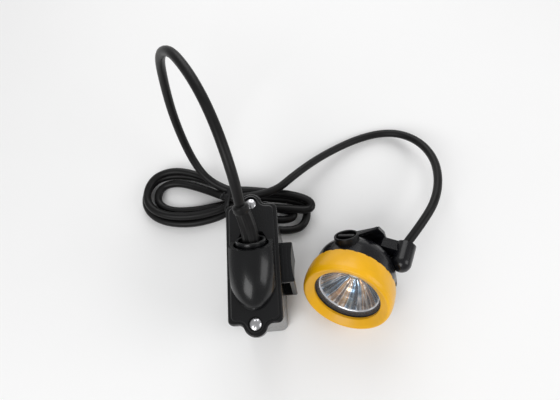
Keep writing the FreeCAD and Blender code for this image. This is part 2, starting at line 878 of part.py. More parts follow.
def driver_board():
    """Round driver board behind the heat sink."""
    board = cylinder(driver_radius, driver_back, pillar_back)
    inductor = cylinder(inductor_radius, driver_back - inductor_height, driver_back, *inductor_place)
    return board.fuse(inductor).removeSplitter()


def dome_solid(shrink, front):
    """Round housing body drawn in by a wall, from its rounded back to a front height."""
    radius = dome_radius - shrink
    rounding = dome_round - shrink
    share = math.sqrt(0.5)
    profile = [(0, front), (radius, front), (radius, -dome_straight),
               (dome_centre_radius + rounding * share, -dome_straight - rounding * share,
                dome_centre_radius, -dome_straight - rounding),
               (0, -dome_straight - rounding)]
    return turned(profile)


def rear_block():
    """Block behind the dome that carries the hook and flares into the cable boss."""
    outline = (block_start, block_shoulder, (hook_end - 1.0, block_shoulder[1]),
               (boss_reach - block_round * 2, block_end_half_width))
    near = [(reach, -half) for reach, half in outline]
    far = [(reach, half) for reach, half in reversed(outline)]
    points = [Vector(x, y, -block_back) for x, y in near + far]
    face = Part.Face(Part.makePolygon(points + points[:1]))
    block = face.extrude(Vector(0, 0, block_back - block_front))
    return block.makeFillet(block_round, upright_edges(block, lambda middle: middle.x > block_shoulder[0] - 1))


def cable_boss():
    """Round boss that the cable comes out of, with a rounded front end."""
    heading = boss_direction()
    start = boss_end() - heading * boss_length
    return cylinder_along(boss_radius, start, heading, boss_length).fuse(
        Part.makeSphere(boss_radius, start))


def head_housing():
    """Domed housing with its rear block and cable boss, hollow, holed for switch and contact."""
    rear = placed(rear_block(), rear_frame())
    body = dome_solid(0, housing_front).fuse(rear).fuse(cable_boss())
    body = body.cut(dome_solid(dome_wall, housing_front + 1))
    heading = boss_direction()
    end = boss_end()
    body = body.cut(cylinder_along(grommet_radius, end - heading * grommet_depth, heading,
                                   grommet_depth + 1))
    inner_end = end - heading * (grommet_depth - 1)
    inward = Vector(dome_centre_radius, 0, -dome_straight - dome_round * 0.4) - inner_end
    body = body.cut(cylinder_along(wire_bore, inner_end, inward, inward.Length))
    collar = placed(cylinder(collar_radius + collar_fit, -12, 12), switch_frame())
    body = body.cut(collar)
    body = body.cut(cylinder_along(charge_bush_radius, charge_place(0), charge_side,
                                   dome_radius + dome_wall))
    for place in hook_screw_places:
        hole = cylinder(hook_screw_radius, -block_back - 1,
                        -block_back + hook_screw_length - hook_thickness + 0.5, place, 0)
        body = body.cut(placed(hole, rear_frame()))
    return body.removeSplitter()


def cable_grommet():
    """Rubber grommet in the boss, standing a little proud with a rounded lip."""
    heading = boss_direction()
    end = boss_end()
    plug = cylinder_along(grommet_radius, end - heading * grommet_depth, heading, grommet_depth)
    lip = Part.makeCone(grommet_radius, grommet_tip, grommet_proud, end, heading)
    bore = cylinder_along(wire_bore, end - heading * (grommet_depth + 1), heading, grommet_depth)
    return plug.fuse(lip).removeSplitter().cut(bore)


def hook_wing(half_width):
    """Section of one wing of the hook, bent forward past the flat middle."""
    bend = math.radians(hook_bend)
    inner = -block_back
    rise = (half_width - hook_flat) * math.tan(bend)
    drop = hook_thickness / math.cos(bend)
    shift = hook_thickness * math.tan(bend / 2)
    return [(hook_flat, inner), (half_width, inner + rise),
            (half_width, inner + rise - drop), (hook_flat + shift, inner - hook_thickness)]


def cap_hook():
    """Hook plate for the helmet's bracket, ribbed at its wing tips, the lower wing longer."""
    strip = hook_wing(hook_half_width) + [(-y, z) for y, z in reversed(hook_wing(hook_low_half_width))]
    points = [Vector(hook_start, y, z) for y, z in strip]
    face = Part.Face(Part.makePolygon(points + points[:1]))
    hook = face.extrude(Vector(hook_end - hook_start, 0, 0))
    edge_length = (hook_end - hook_start) / math.cos(math.radians(hook_taper))
    for side, half_width in ((-1, hook_low_half_width), (1, hook_half_width)):
        tip_front, tip_back = (z for y, z in hook_wing(half_width)[1:3])
        pitch = (tip_front - tip_back) / hook_rib_count
        corner = Vector(hook_end, side * half_width, 0)
        edge = Placement(corner, Rotation(Vector(0, 0, 1), 180 + side * hook_taper))
        y0, y1 = sorted((0, -side * half_width))
        offcut = box(-hook_end, 2 * edge_length, y0, y1, -2 * block_back, 0)
        hook = hook.cut(placed(offcut, edge))
        y0, y1 = sorted((0, -side * hook_rib_height))
        for index in range(hook_rib_count):
            low = tip_back + pitch * index + (pitch - hook_rib_width / 2) / 2
            rib = box(hook_rib_margin, edge_length - hook_rib_margin, y0, y1,
                      low, low + hook_rib_width / 2)
            hook = hook.fuse(placed(rib, edge))
    for place in hook_screw_places:
        hook = hook.cut(cylinder(hook_screw_radius + 0.1, -block_back - hook_thickness - 1,
                                 -block_back + 1, place, 0))
    return hook.removeSplitter()


def hook_screws():
    """Two screws that hold the hook to the rear block."""
    screws = []
    seat = -block_back - hook_thickness
    for place in hook_screw_places:
        shank = cylinder(hook_screw_radius, seat, seat + hook_screw_length, place, 0)
        head = cylinder(hook_screw_head, seat - hook_screw_head_height, seat, place, 0)
        head = head.makeFillet(hook_screw_slot, level_edges(head, seat - hook_screw_head_height))
        slot = box(place - hook_screw_head, place + hook_screw_head,
                   -hook_screw_slot / 2, hook_screw_slot / 2,
                   seat - hook_screw_head_height - 1, seat - hook_screw_head_height + hook_screw_slot)
        screws.append(shank.fuse(head).removeSplitter().cut(slot))
    return Part.makeCompound(screws)


def charge_place(reach):
    """Point on the charging contact's axis at a distance from the lens axis."""
    return Vector(0, -reach, charge_ahead - dome_straight)


def charge_pin():
    """Brass charging pin through its bush."""
    return cylinder_along(charge_pin_radius, charge_place(dome_radius - dome_wall - charge_inside),
                          charge_side, dome_wall + charge_inside + charge_proud)


def charge_bush():
    """Insulating bush round the charging pin."""
    start = charge_place(dome_radius - dome_wall - 1)
    bush = cylinder_along(charge_bush_radius, start, charge_side, dome_wall + 1)
    return bush.cut(cylinder_along(charge_pin_radius, start - charge_side, charge_side,
                                   2 * dome_wall + 2))


# ---- rotary switch, in its own frame

def switch_collar():
    """Cup round the knob, with a floor that the shaft runs in and a skirt below."""
    collar = tube(collar_radius, collar_bore, collar_bottom, collar_top)
    collar = collar.makeFillet(collar_rim_round, level_edges(collar, collar_top))
    floor = tube(collar_bore, shaft_radius + shaft_fit, collar_floor_bottom, collar_floor_top)
    floor = floor.cut(cylinder(oring_outer, oring_low, oring_high))
    return collar.fuse(floor).removeSplitter()


def switch_oring():
    """Seal round the shaft, in the collar's floor."""
    return tube(oring_outer, shaft_radius + shaft_fit, oring_low, oring_high)


def switch_knob():
    """Knob: a disc with a raised grip across it and a bore for the shaft."""
    disc = cylinder(knob_radius, knob_bottom, knob_top)
    disc = disc.makeFillet(0.5, level_edges(disc, knob_top))
    half_length, half_width = grip_length / 2, grip_width / 2
    grip = box(-half_length, half_length, -half_width, half_width, knob_top - 0.8, grip_top)
    grip = grip.makeFillet(grip_round, upright_edges(grip, lambda middle: True))
    grip = grip.makeFillet(grip_round * 0.6, level_edges(grip, grip_top))
    return disc.fuse(grip).removeSplitter().cut(cylinder(shaft_radius, knob_bottom - 1, shaft_top))


def switch_shaft():
    """Steel shaft from the knob to the rotor."""
    return cylinder(shaft_radius, shaft_bottom, shaft_top)


def switch_rotor():
    """Contact rotor on the shaft's inner end."""
    return tube(rotor_radius, shaft_radius, shaft_bottom, rotor_top)


def switch_base():
    """Fixed contact base in the collar's skirt, with the detent's pocket."""
    base = tube(collar_bore - base_fit, shaft_radius + base_bore_gap, base_bottom, base_top)
    return base.cut(cylinder(detent_radius + detent_fit, base_bottom - 1, spring_top,
                             detent_circle, 0))


def detent_spring():
    """Small spring behind the detent ball, as a closed sleeve."""
    return tube(detent_radius, spring_bore, spring_top - spring_length, spring_top,
                detent_circle, 0)


def detent_ball():
    """Ball that the rotor clicks against."""
    return Part.makeSphere(detent_radius, Vector(detent_circle, 0, ball_centre))


# ---- cable

def rounded_route(points):
    """Wire of straight runs joined by tangent arcs, and the radius of each arc."""
    points = [Vector(*point) for point in points]
    edges, radii = [], []
    here = points[0]
    for before, corner, after in zip(points, points[1:], points[2:]):
        first, second = before - corner, after - corner
        shorter = min(first.Length, second.Length)
        first.normalize()
        second.normalize()
        turn = math.pi - first.getAngle(second)
        setback = bend_share * shorter
        radii.append(setback / math.tan(turn / 2))
        start, end = corner + first * setback, corner + second * setback
        middle_line = first + second
        middle_line.normalize()
        to_centre = math.hypot(radii[-1], setback)
        middle = corner + middle_line * (to_centre - radii[-1])
        edges.append(Part.LineSegment(here, start).toShape())
        edges.append(Part.Arc(start, middle, end).toShape())
        here = end
    edges.append(Part.LineSegment(here, points[-1]).toShape())
    return Part.Wire(edges), radii


def cable_tube(name, points):
    """Round tube along a route, with its radii and its length printed."""
    path, radii = rounded_route(points)
    start = Vector(*points[0])
    heading = Vector(*points[1]) - start
    section = Part.Wire(Part.makeCircle(cable_radius, start, heading))
    solid = path.makePipeShell([section], True, False)
    expected = math.pi * cable_radius ** 2 * path.Length
    print(name, "length", round(path.Length, 1), "radii", [round(radius, 1) for radius in radii],
          "volume over section x length", round(solid.Volume / expected, 4))
    return solid


def cord_loop():
    """Tall loop of cable from the sleeve's tip to the hank."""
    return cable_tube("cord_loop", (tuple(sleeve_tip),) + loop_route)


def cord_lead():
    """Long lead from the hank to the headpiece's grommet."""
    end = HEAD.multVec(boss_end() + boss_direction() * grommet_proud)
    return cable_tube("cord_lead", lead_route + (tuple(end),))


def waist_bar(grow, length):
    """Rounded bar along the hank's waist, grown by a thickness all round."""
    bar = box(-length / 2, length / 2, -waist_width / 2 - grow, waist_width / 2 + grow,
              tie_thickness - grow, tie_thickness + waist_height + grow)
    sides = [edge for edge in bar.Edges if abs(edge.Length - length) < 1e-6]
    bar = bar.makeFillet(waist_round + grow, sides)
    return placed(bar, Placement(Vector(waist_centre[0], waist_centre[1], 0),
                                 Rotation(Vector(0, 0, 1), waist_turn)))


def cord_hank():
    """Closed solid of the hank's outer shape: two lobes and a waist."""
    hank = waist_bar(0, waist_length)
    for outline in (left_lobe, right_lobe):
        hank = hank.fuse(closed_curve(outline, 0).extrude(Vector(0, 0, lobe_height)))
    return hank.removeSplitter()


def hank_tie():
    """Tie round the hank's waist, with its twisted knot on top."""
    band = waist_bar(tie_thickness, tie_width).cut(waist_bar(0, tie_width + 2))
    top = 2 * tie_thickness + waist_height
    knot = Part.makeSphere(tie_knot_radius, Vector(waist_centre[0], waist_centre[1],
                                                   top + tie_knot_radius * 0.7))
    return band.fuse(knot.cut(waist_bar(0, tie_width + 10))).removeSplitter()


def head_parts():
    """Name and shape of each headpiece piece, in the headpiece's frame."""
    return {
        "front_bezel": front_bezel(),
        "lens_seal": lens_seal(),
        "lens": lens(),
        "seat_ring": seat_ring(),
        "reflector": reflector(),
        "main_led": main_led(),
        "led_board": led_board(),
        "heat_sink": heat_sink(),
        "board_pillars": board_pillars(),
        "driver_board": driver_board(),
        "head_housing": head_housing(),
        "cable_grommet": cable_grommet(),
        "cap_hook": placed(cap_hook(), rear_frame()),
        "hook_screws": placed(hook_screws(), rear_frame()),
        "charge_pin": charge_pin(),
        "charge_bush": charge_bush(),
    }


def switch_parts():
    """Name and shape of each switch piece, in the switch's frame."""
    return {
        "switch_collar": switch_collar(),
        "switch_oring": switch_oring(),
        "switch_knob": switch_knob(),
        "switch_shaft": switch_shaft(),
        "switch_rotor": switch_rotor(),
        "switch_base": switch_base(),
        "detent_spring": detent_spring(),
        "detent_ball": detent_ball(),
    }


def all_parts():
    """Name and shape of every piece, in the lamp's frame."""
    parts = {
        "battery_case": battery_case(),
        "cover_gasket": cover_gasket(),
        "top_cover": top_cover(),
        "cover_screws": cover_screws(),
        "screw_inserts": screw_inserts(),
        "gland_nut": gland_nut(),
        "gland_seal": gland_seal(),
        "strain_relief": strain_relief(),
        "belt_loop": belt_loop(),
        "cell_tray": cell_tray(),
        "cell_cap": cell_cap(),
        "foam_pads": foam_pads(),
        "bus_strips": bus_strips(),
        "protection_board": protection_board(),
        "cord_loop": cord_loop(),
        "cord_lead": cord_lead(),
        "cord_hank": cord_hank(),
        "hank_tie": hank_tie(),
    }
    for index, y in enumerate(cell_places()):
        parts["battery_cell_" + str(index + 1)] = battery_cell(y)
    for name, shape in head_parts().items():
        parts[name] = placed(shape, HEAD)
    for name, shape in switch_parts().items():
        parts[name] = placed(shape, SWITCH)
    return parts


os.makedirs("parts", exist_ok=True)
for node, shape in all_parts().items():
    shape.exportStep("parts/" + node + ".step")
    print(node, len(shape.Solids), "solid(s)", round(shape.Volume / 1000.0, 2), "cm3",
          "valid" if shape.isValid() else "NOT VALID")
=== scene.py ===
"""Corded miner's cap lamp: looks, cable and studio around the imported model, in metres."""
import logging
import math
from dataclasses import dataclass
from enum import Enum
from typing import Callable, Iterable, Optional, Sequence, Union

import bmesh
import bpy
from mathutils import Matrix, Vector


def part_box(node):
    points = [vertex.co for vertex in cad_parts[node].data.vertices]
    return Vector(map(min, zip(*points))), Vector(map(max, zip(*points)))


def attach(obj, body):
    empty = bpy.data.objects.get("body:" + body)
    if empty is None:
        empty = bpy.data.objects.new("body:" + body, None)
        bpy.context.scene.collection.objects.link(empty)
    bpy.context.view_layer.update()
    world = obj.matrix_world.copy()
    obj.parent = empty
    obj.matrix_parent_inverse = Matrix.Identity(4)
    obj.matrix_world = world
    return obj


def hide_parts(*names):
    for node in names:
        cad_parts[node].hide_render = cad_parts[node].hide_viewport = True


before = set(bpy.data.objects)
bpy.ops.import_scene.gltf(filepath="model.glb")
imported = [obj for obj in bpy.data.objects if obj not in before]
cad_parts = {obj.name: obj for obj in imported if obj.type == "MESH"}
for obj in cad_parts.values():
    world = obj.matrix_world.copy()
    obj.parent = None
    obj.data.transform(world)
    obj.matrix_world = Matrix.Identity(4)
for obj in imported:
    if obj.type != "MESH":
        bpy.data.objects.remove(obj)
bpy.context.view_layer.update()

LOG = logging.getLogger("cap_lamp")
MILLIMETRE = 0.001

Colour = tuple[float, float, float]
Number = Union["Value", float]
Section = Callable[[float], list[tuple[float, float]]]


# ---- shader building

class Value:
    """A number in a shader, which takes part in sums written as Python expressions."""

    def __init__(self, shader: "Shader", socket: bpy.types.NodeSocket) -> None:
        """Keep the shader and the socket that gives the number."""
        self.shader = shader
        self.socket = socket

    def joined(self, operation: str, other: Number, turned: bool = False) -> "Value":
        """Join with another number.

        Args:
            operation: The Math node's operation.
            other: The second number.
            turned: Whether the other number comes first.

        Returns:
            The result as a new value.
        """
        pair = (other, self) if turned else (self, other)
        node = self.shader.node("ShaderNodeMath", {"operation": operation}, dict(enumerate(pair)))
        return Value(self.shader, node.outputs[0])

    def __add__(self, other: Number) -> "Value":
        """Sum."""
        return self.joined("ADD", other)

    def __radd__(self, other: Number) -> "Value":
        """Sum with a plain number first."""
        return self.joined("ADD", other)

    def __sub__(self, other: Number) -> "Value":
        """Difference."""
        return self.joined("SUBTRACT", other)

    def __rsub__(self, other: Number) -> "Value":
        """Difference with a plain number first."""
        return self.joined("SUBTRACT", other, turned=True)

    def __mul__(self, other: Number) -> "Value":
        """Product."""
        return self.joined("MULTIPLY", other)

    def __rmul__(self, other: Number) -> "Value":
        """Product with a plain number first."""
        return self.joined("MULTIPLY", other)

    def __pow__(self, other: Number) -> "Value":
        """Power."""
        return self.joined("POWER", other)

    def above(self, low: float, high: float) -> "Value":
        """Rise smoothly from 0 to 1.

        Args:
            low: Where it starts to rise.
            high: Where it has reached 1.

        Returns:
            The risen value.
        """
        node = self.shader.node("ShaderNodeMapRange", {"interpolation_type": "SMOOTHSTEP"},
                                {"Value": self, "From Min": low, "From Max": high})
        return Value(self.shader, node.outputs["Result"])


class Shader:
    """A material's node tree round one Principled BSDF."""

    def __init__(self, name: str) -> None:
        """Start a material with an output and a Principled BSDF."""
        self.material = bpy.data.materials.new(name)
        self.material.use_nodes = True
        self.tree = self.material.node_tree
        self.tree.nodes.clear()
        self.surface = self.node("ShaderNodeBsdfPrincipled")
        self.output = self.node("ShaderNodeOutputMaterial",
                                inputs={"Surface": self.surface.outputs["BSDF"]})
        self.place = self.node("ShaderNodeTexCoord").outputs["Object"]

    def node(self, kind: str, settings: Optional[dict] = None,
             inputs: Optional[dict] = None) -> bpy.types.Node:
        """Add a node.

        Args:
            kind: The node's type.
            settings: Its properties, with a ramp's stops under "stops".
            inputs: Values or links for its sockets, by name or number.

        Returns:
            The new node.
        """
        node = self.tree.nodes.new(kind)
        for key, setting in (settings or {}).items():
            if key == "stops":
                ramp = node.color_ramp.elements
                while len(ramp) < len(setting):
                    ramp.new(0.5)
                for element, (position, colour) in zip(ramp, setting):
                    element.position = position
                    element.color = (*colour, 1.0)
            else:
                setattr(node, key, setting)
        for key, value in (inputs or {}).items():
            self.feed(node.inputs[key], value)
        return node

    def feed(self, socket: bpy.types.NodeSocket, value: object) -> None:
        """Link a value or a socket, or set a constant."""
        if isinstance(value, Value):
            value = value.socket
        if isinstance(value, bpy.types.NodeSocket):
            self.tree.links.new(value, socket)
        elif isinstance(value, tuple) and len(value) == 3 and socket.type == "RGBA":
            socket.default_value = (*value, 1.0)
        else:
            socket.default_value = value

    def constants(self, **values: object) -> None:
        """Set the shader's own sockets, by name with underscores for spaces."""
        for key, value in values.items():
            self.feed(self.surface.inputs[key.replace("_", " ")], value)

    def stretched(self, stretch: Colour) -> bpy.types.NodeSocket:
        """Object coordinates times a stretch along each axis."""
        return self.node("ShaderNodeVectorMath", {"operation": "MULTIPLY"},
                         {0: self.place, 1: stretch}).outputs[0]

    def noise(self, scale: float, detail: float = 3.0, roughness: float = 0.55,
              stretch: Optional[Colour] = None) -> Value:
        """Noise over the piece.

        Args:
            scale: Features per metre.
            detail: Octaves.
            roughness: Share of each further octave.
            stretch: Stretch of the coordinates along each axis.

        Returns:
            A value about 0.5.
        """
        where = self.place if stretch is None else self.stretched(stretch)
        node = self.node("ShaderNodeTexNoise", inputs={
            "Vector": where, "Scale": scale, "Detail": detail, "Roughness": roughness})
        return Value(self, node.outputs[0])

    def cells(self, scale: float) -> Value:
        """Distance to the nearest of scattered points, for pitted grain."""
        node = self.node("ShaderNodeTexVoronoi", inputs={"Vector": self.place, "Scale": scale})
        return Value(self, node.outputs["Distance"])

    def blend(self, share: Number, first: object, second: object) -> bpy.types.NodeSocket:
        """Mix two colours by a share."""
        return self.node("ShaderNodeMix", {"data_type": "RGBA"},
                         {0: share, 6: first, 7: second}).outputs[2]

    def bump(self, height: Number, strength: float, depth: float) -> None:
        """Feed the surface's normal from a height.

        Args:
            height: The height, about 0 to 1.
            strength: Share of the bump that shows.
            depth: Height of the bump in metres.
        """
        node = self.node("ShaderNodeBump", inputs={
            "Height": height, "Strength": strength, "Distance": depth})
        self.feed(self.surface.inputs["Normal"], node.outputs[0])


def darker(colour: Colour, share: float) -> Colour:
    """A colour times a share."""
    return tuple(channel * share for channel in colour)


# ---- finishes

@dataclass(frozen=True)
class MouldedPlastic:
    """Injection-moulded plastic with fine spark grain, rub marks and handling haze."""

    name: str
    colour: Colour
    roughness: float
    haze: float = 0.10
    grain: float = 0.12
    grain_scale: float = 2600.0
    rub: float = 0.10
    coat: float = 0.0
    tone: float = 0.18
    shine: float = 0.26

    def material(self) -> bpy.types.Material:
        """Build the material.

        Returns:
            The new material.
        """
        shader = Shader(self.name)
        haze = shader.noise(38.0, 4.0, 0.6)
        rub = shader.noise(520.0, 2.0, 0.5, (1.0, 0.06, 0.35)).above(0.60, 0.74)
        grain = shader.cells(self.grain_scale) + shader.noise(self.grain_scale * 0.6, 2.0)
        tone = shader.blend(haze.above(0.35, 0.7), darker(self.colour, 1 - self.tone),
                            darker(self.colour, 1 + self.tone))
        worn = shader.blend(rub * self.rub, tone, darker(self.colour, 2.2))
        shader.constants(
            Base_Color=worn, Coat_Weight=self.coat, Coat_Roughness=0.12,
            Specular_IOR_Level=self.shine,
            Roughness=self.roughness + (haze - 0.5) * self.haze + rub * self.rub * 0.5)
        shader.bump(grain - rub * 0.4, self.grain, 0.00008)
        return shader.material


@dataclass(frozen=True)
class Rubber:
    """Rubber or soft PVC, dull, with a mottled bloom and faint extrusion marks."""

    name: str
    colour: Colour
    roughness: float = 0.55
    bloom: float = 0.35
    marks: float = 0.15

    def material(self) -> bpy.types.Material:
        """Build the material.

        Returns:
            The new material.
        """
        shader = Shader(self.name)
        bloom = shader.noise(85.0, 5.0, 0.62)
        fine = shader.noise(1500.0, 3.0, 0.6)
        specks = shader.noise(2600.0, 1.0).above(0.70, 0.76)
        tone = shader.blend(bloom.above(0.38, 0.68), darker(self.colour, 1 - self.bloom),
                            darker(self.colour, 1 + self.bloom))
        dusty = shader.blend(specks * 0.35, tone, darker(self.colour, 3.5))
        shader.constants(Base_Color=dusty, Sheen_Weight=0.03, Sheen_Roughness=0.5,
                         Specular_IOR_Level=0.24,
                         Roughness=self.roughness + (bloom - 0.5) * 0.25)
        shader.bump(fine + bloom * 0.6, self.marks, 0.0002)
        return shader.material


@dataclass(frozen=True)
class PlatedMetal:
    """Metal, plated or turned, with fine lines and small tarnished patches."""

    name: str
    colour: Colour
    roughness: float
    lines: Colour = (1.0, 1.0, 0.05)
    tarnish: float = 0.25

    def material(self) -> bpy.types.Material:
        """Build the material.

        Returns:
            The new material.
        """
        shader = Shader(self.name)
        patch = shader.noise(260.0, 4.0).above(0.48, 0.72)
        line = shader.noise(2400.0, 2.0, 0.5, self.lines)
        tone = shader.blend(patch * self.tarnish, self.colour, darker(self.colour, 0.55))
        shader.constants(Base_Color=tone, Metallic=1.0,
                         Roughness=self.roughness + line * 0.10 + patch * 0.12)
        shader.bump(line, 0.08, 0.00003)
        return shader.material


@dataclass(frozen=True)
class BowlPaintedReflections:
    """Bright plating of the bowl, its colour painted with reflections in streaks that fan out from
    its neck, and with a painted highlight round its rim.
    """

    name: str
    centre: Vector
    axis: Vector
    rim_depth: float
    fans: float = 5.0
    streaks: float = 23.0
    fan_share: float = 0.34
    streak_share: float = 0.13
    cloud_share: float = 0.7
    lowest_share: float = 0.15
    twist: float = 60.0
    # Painted highlight: colour and width of the bright ring round the rim.
    rim_painted_highlight: Colour = (0.94, 0.93, 0.91)
    rim_width: float = 0.0012
    # Painted reflections: dark, white and amber bands that stand in for the room and the yellow
    # bezel mirrored in the bowl.
    stops: tuple = (
        (0.00, (0.015, 0.020, 0.030)), (0.14, (0.060, 0.085, 0.125)), (0.26, (0.22, 0.36, 0.48)),
        (0.36, (0.96, 0.98, 1.00)), (0.45, (0.13, 0.16, 0.19)), (0.54, (0.52, 0.25, 0.09)),
        (0.66, (0.86, 0.55, 0.28)), (0.78, (1.00, 0.96, 0.88)), (0.88, (0.34, 0.20, 0.12)),
        (1.00, (0.030, 0.026, 0.026)))

    def material(self) -> bpy.types.Material:
        """Build the material.

        Returns:
            The new material.
        """
        shader = Shader(self.name)
        offset = shader.node("ShaderNodeVectorMath", {"operation": "SUBTRACT"},
                             {0: shader.place, 1: tuple(self.centre)}).outputs[0]
        side = self.axis.orthogonal().normalized()
        along, across, depth = (
            Value(shader, shader.node("ShaderNodeVectorMath", {"operation": "DOT_PRODUCT"},
                                      {0: offset, 1: tuple(way)}).outputs["Value"])
            for way in (side, self.axis.cross(side), self.axis))
        angle = across.joined("ARCTAN2", along)
        twist = depth * self.twist
        wide = (angle * self.fans + twist).joined("SINE", 0.0)
        narrow = (angle * self.streaks + twist * 3.0).joined("SINE", 0.0)
        cloud = shader.noise(48.0, 2.0, 0.5)
        share = (wide * self.fan_share + narrow * self.streak_share + cloud * self.cloud_share
                 + self.lowest_share)
        # Painted reflections, laid out in fans and streaks round the axis.
        painted_reflection = shader.node("ShaderNodeValToRGB", {"stops": self.stops}, {0: share})
        # Painted highlight: a bright ring just inside the rim.
        rim = depth.above(self.rim_depth - self.rim_width, self.rim_depth - self.rim_width / 2)
        shader.constants(Base_Color=shader.blend(rim, painted_reflection.outputs["Color"], self.rim_painted_highlight),
                         Metallic=0.6, Roughness=0.14 + shader.noise(260.0) * 0.12)
        return shader.material


@dataclass(frozen=True)
class ClearPlate:
    """Clear moulded lens: see-through from the front and glossy at a slant."""

    name: str
    slant_gloss: float = 0.6
    front_gloss: float = 0.015

    def material(self) -> bpy.types.Material:
        """Build the material.

        Returns:
            The new material.
        """
        shader = Shader(self.name)
        smear = shader.noise(70.0, 4.0, 0.6)
        shader.constants(Base_Color=(0.95, 0.97, 1.0), Roughness=0.03 + smear * 0.06,
                         Specular_IOR_Level=0.8)
        slant = Value(shader, shader.node("ShaderNodeLayerWeight",
                                          inputs={"Blend": 0.5}).outputs["Facing"])
        clear = shader.node("ShaderNodeBsdfTransparent", inputs={"Color": (0.97, 0.98, 1.0, 1.0)})
        mixed = shader.node("ShaderNodeMixShader", inputs={
            0: slant ** 3.0 * self.slant_gloss + smear * 0.02 + self.front_gloss,
            1: clear.outputs[0], 2: shader.surface.outputs[0]})
        shader.feed(shader.output.inputs["Surface"], mixed.outputs[0])
        return shader.material


@dataclass(frozen=True)
class BoardLaminate:
    """Circuit board laminate with solder mask over copper tracks."""

    name: str
    colour: Colour

    def material(self) -> bpy.types.Material:
        """Build the material.

        Returns:
            The new material.
        """
        shader = Shader(self.name)
        tracks = shader.node("ShaderNodeTexBrick", {"offset": 0.37}, {
            "Vector": shader.place, "Scale": 210.0, "Mortar Size": 0.08,
            "Color1": darker(self.colour, 0.85), "Color2": self.colour,
            "Mortar": darker(self.colour, 1.7)})
        shader.constants(Base_Color=tracks.outputs["Color"], Coat_Weight=0.3,
                         Roughness=0.38 + shader.noise(300.0) * 0.15)
        shader.bump(Value(shader, tracks.outputs["Fac"]), 0.2, 0.00005)
        return shader.material


@dataclass(frozen=True)
class OpenFoam:
    """Open-cell foam, with painted shade in its pores."""

    name: str
    colour: Colour

    def material(self) -> bpy.types.Material:
        """Build the material.

        Returns:
            The new material.
        """
        shader = Shader(self.name)
        pores = shader.cells(900.0)
        # Darker towards each pore's centre: painted shade in the pore hollows.
        tone = shader.blend(pores.above(0.1, 0.6), darker(self.colour, 0.4), self.colour)
        shader.constants(Base_Color=tone, Roughness=0.9 + pores * 0.05)
        shader.bump(pores, 0.8, 0.0006)
        return shader.material


@dataclass(frozen=True)
class Phosphor:
    """Emitter: yellow phosphor under clear silicone."""

    name: str
    colour: Colour = (0.85, 0.72, 0.10)

    def material(self) -> bpy.types.Material:
        """Build the material.

        Returns:
            The new material.
        """
        shader = Shader(self.name)
        speckle = shader.noise(5000.0, 2.0)
        tone = shader.blend(speckle.above(0.4, 0.7), self.colour, darker(self.colour, 1.15))
        shader.constants(Base_Color=tone, Roughness=0.18 + speckle * 0.1, Coat_Weight=1.0,
                         Coat_Roughness=0.03, Emission_Color=tone, Emission_Strength=0.25)
        return shader.material


class Finish(Enum):
    """Every finish on the lamp."""

    CASE_BLACK = MouldedPlastic("case_black", (0.0045, 0.0047, 0.0053), 0.27, grain=0.08, coat=0.22)
    HEAD_BLACK = MouldedPlastic("head_black", (0.0045, 0.0045, 0.0060), 0.27, grain=0.10,
                                coat=0.22)
    LOOP_BLACK = MouldedPlastic("loop_black", (0.007, 0.0075, 0.0085), 0.36, grain=0.12)
    HOOK_BLACK = MouldedPlastic("hook_black", (0.007, 0.0075, 0.009), 0.30, grain=0.12, coat=0.2)
    KNOB_BLACK = MouldedPlastic("knob_black", (0.0045, 0.0045, 0.005), 0.30, grain=0.08)
    BEZEL_YELLOW = MouldedPlastic("bezel_yellow", (0.87, 0.445, 0.002), 0.34, haze=0.08,
                                  grain=0.10, rub=0.04, coat=0.08, tone=0.05, shine=0.38)
    HOLDER_GREY = MouldedPlastic("holder_plastic", (0.30, 0.31, 0.32), 0.5)
    CELL_SLEEVE = MouldedPlastic("cell_sleeve", (0.04, 0.16, 0.32), 0.28, grain=0.04)
    SEAL_RUBBER = Rubber("seal_rubber", (0.010, 0.010, 0.011), 0.55)
    CABLE_RUBBER = Rubber("cable_rubber", (0.0040, 0.0038, 0.0040), 0.42)
    TIE_BLACK = Rubber("tie_black", (0.010, 0.010, 0.011), 0.40, bloom=0.2)
    SEAT_BROWN = Rubber("seat_brown", (0.022, 0.008, 0.004), 0.36, bloom=0.25)
    SCREW_CHROME = PlatedMetal("screw_chrome", (0.62, 0.62, 0.64), 0.16, tarnish=0.2)
    SCREW_STEEL = PlatedMetal("screw_steel", (0.55, 0.56, 0.58), 0.24)
    BRASS = PlatedMetal("insert_brass", (0.80, 0.58, 0.26), 0.28)
    NICKEL = PlatedMetal("strip_nickel", (0.70, 0.69, 0.66), 0.30)
    ALUMINIUM = PlatedMetal("sink_aluminium", (0.78, 0.79, 0.80), 0.38)
    BOARD_GREEN = BoardLaminate("board_green", (0.02, 0.16, 0.05))
    BOARD_WHITE = BoardLaminate("board_white", (0.72, 0.73, 0.72))
    FOAM = OpenFoam("pad_foam", (0.12, 0.12, 0.13))
    EMITTER = Phosphor("led_yellow")
    LENS = ClearPlate("lens_clear")

    def made(self) -> bpy.types.Material:
        """Build the finish's material, once.

        Returns:
            The material.
        """
        known = bpy.data.materials.get(self.value.name + "_finish")
        if known is None:
            known = self.value.material()
            known.name = self.value.name + "_finish"
        return known


# ---- mesh building

